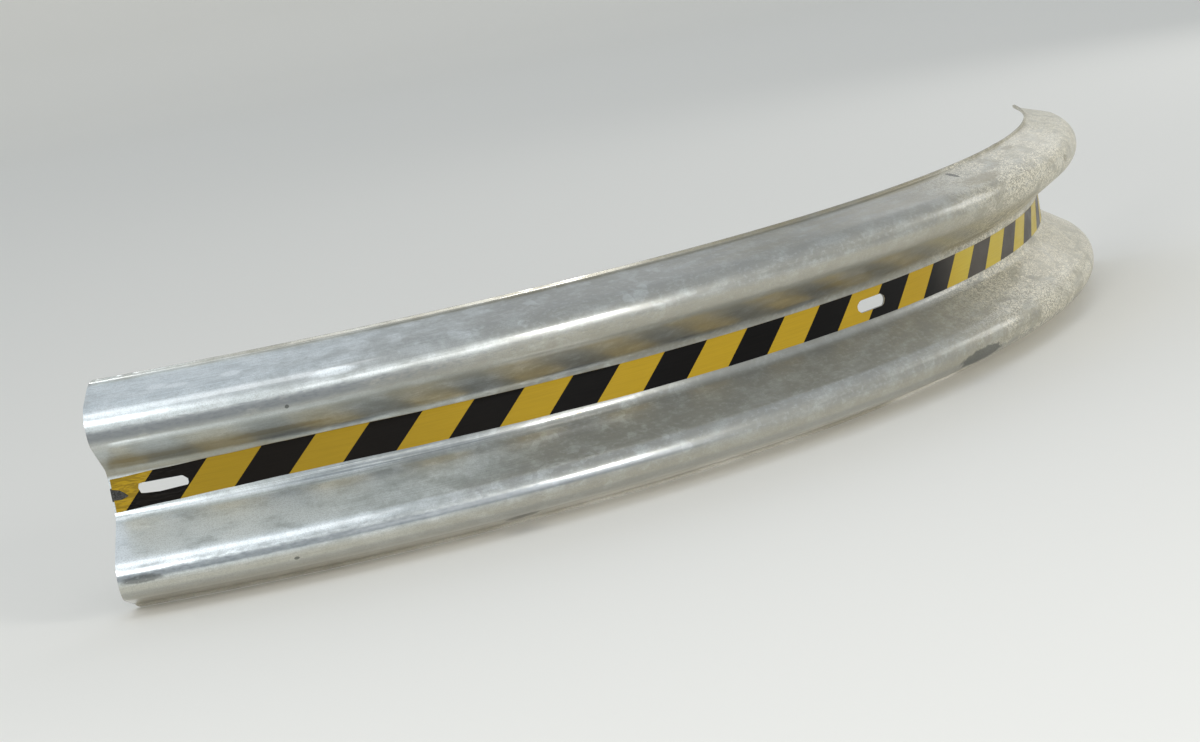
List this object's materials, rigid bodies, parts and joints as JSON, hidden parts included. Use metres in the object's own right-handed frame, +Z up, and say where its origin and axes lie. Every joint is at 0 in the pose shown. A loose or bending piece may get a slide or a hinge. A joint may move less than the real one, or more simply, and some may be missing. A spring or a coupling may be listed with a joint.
{
  "type": "guard rail",
  "caption": "Curved W-beam guard rail of galvanised steel, bent to a quarter circle, with a strip of yellow and black hazard tape along its slotted valley.",
  "frame": {"origin": "middle of the rail's box at its bottom edge", "axes": "+Z up across the rail's height, -Y the way the middle of its convex side faces, +X to the right seen from that side"},
  "size_m": [2.2034, 0.515, 0.31],
  "materials": {
    "galvanised_steel": "hot-dip galvanised, spangled, dull",
    "tape_yellow": "satin vinyl",
    "tape_black": "satin print"
  },
  "bodies": {
    "root": {"rail_beam": "galvanised_steel", "tape_film": "tape_yellow", "tape_black_bars": "tape_black"}
  },
  "joints": []
}
